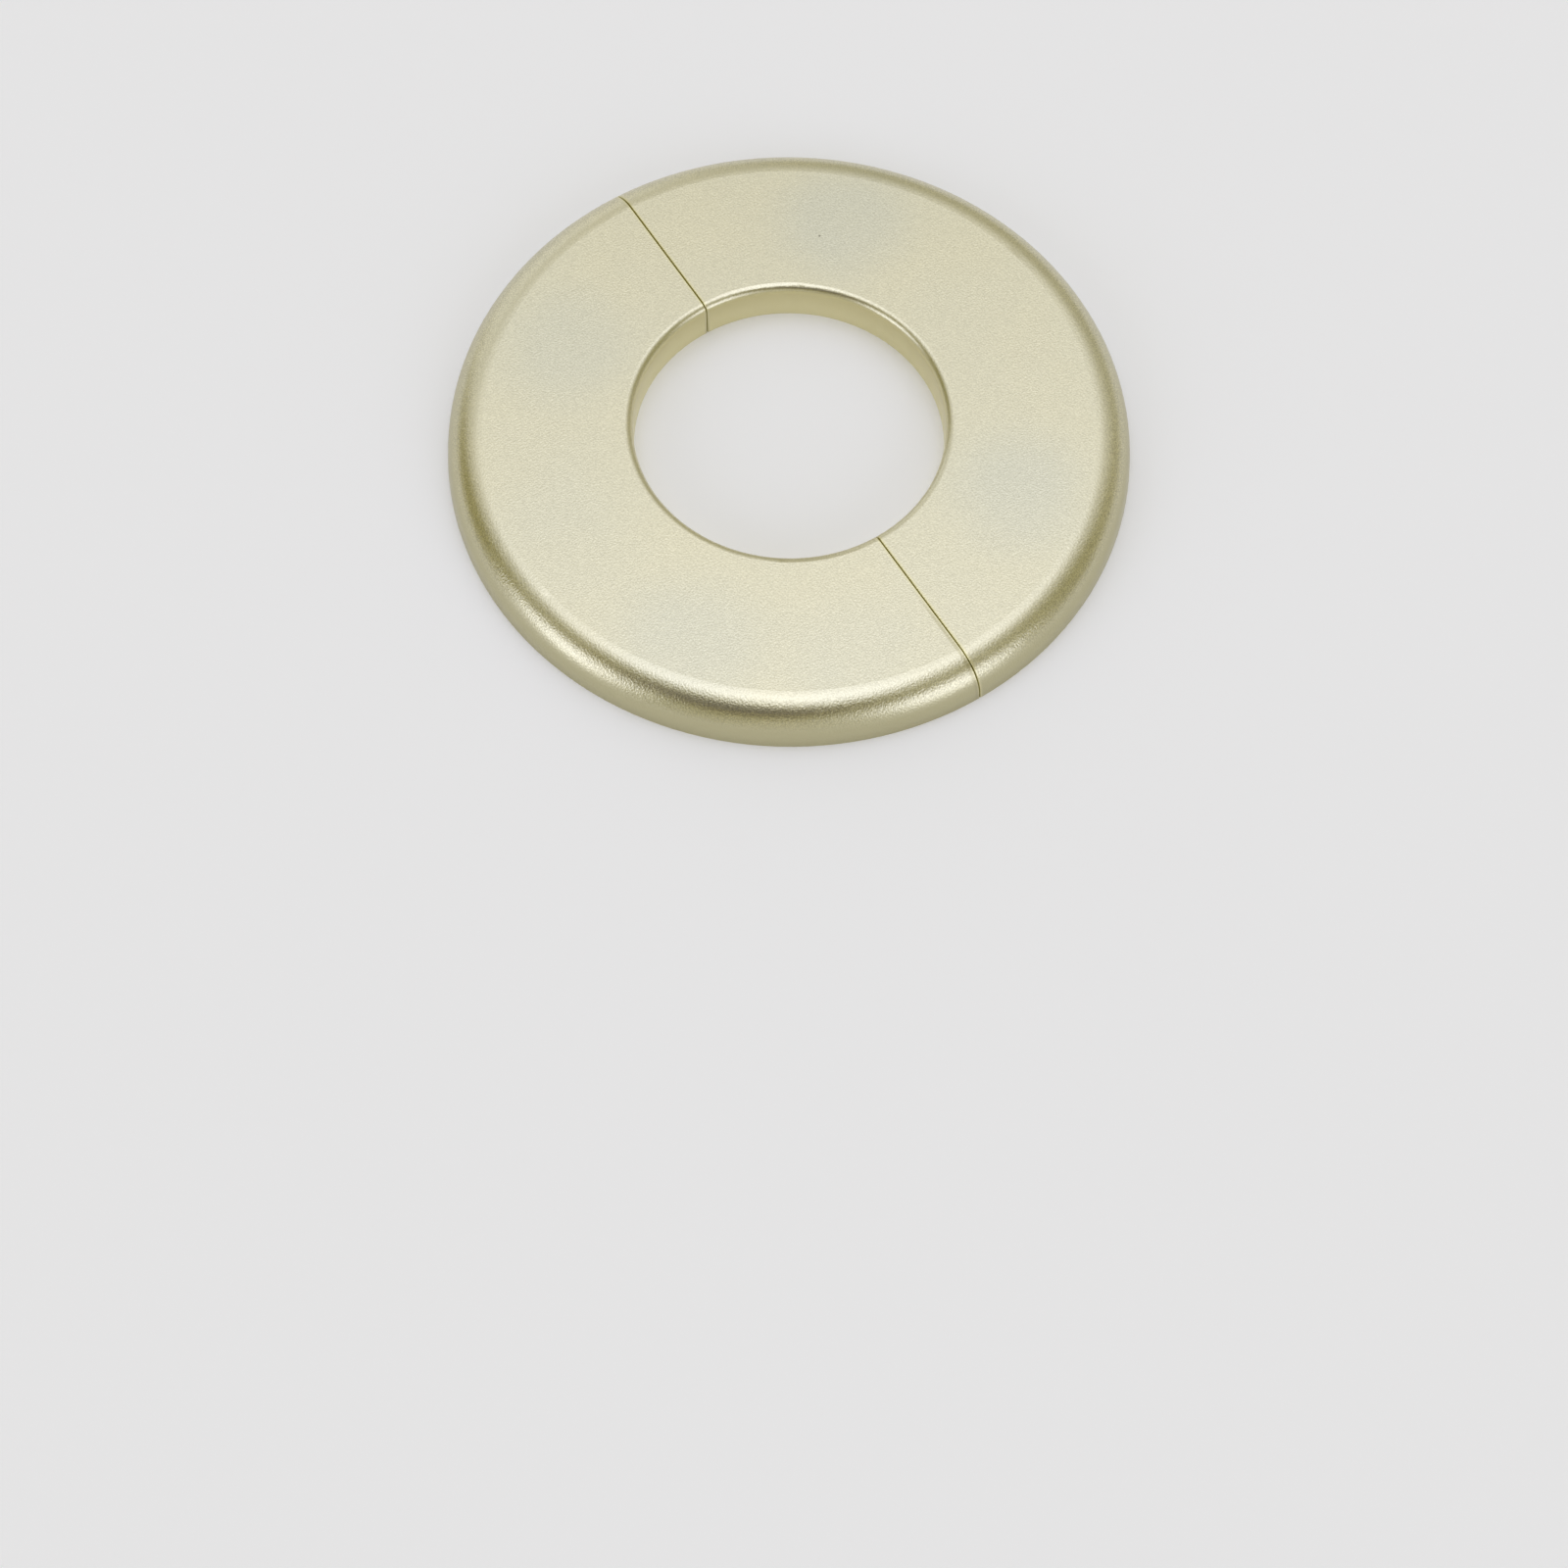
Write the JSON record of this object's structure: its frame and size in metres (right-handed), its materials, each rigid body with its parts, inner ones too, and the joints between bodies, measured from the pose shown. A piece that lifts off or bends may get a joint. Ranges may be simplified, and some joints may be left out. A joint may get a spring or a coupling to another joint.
{
  "type": "split escutcheon",
  "caption": "Round pipe escutcheon with a flat face and a rounded rim, split across its bore into hollow moulded halves that push together around a fitted pipe and hide its hole in the wall.",
  "frame": {"origin": "centre of the bore on the plane of the wall, which is the back of the part", "axes": "+Z along the pipe away from the wall, Y along the seam between the halves, +X from the left half to the right half"},
  "size_m": [0.09, 0.09, 0.0055],
  "materials": {
    "champagne_cover": "moulded plastic with a satin champagne metallic finish and a fine grain"
  },
  "bodies": {
    "left": {"left_half": "champagne_cover"},
    "right": {"right_half": "champagne_cover"}
  },
  "joints": [
    {"name": "pull_apart", "type": "slide", "parent": "left", "child": "right", "axis": [1, 0, 0], "range_m": [0, 0.05]}
  ]
}
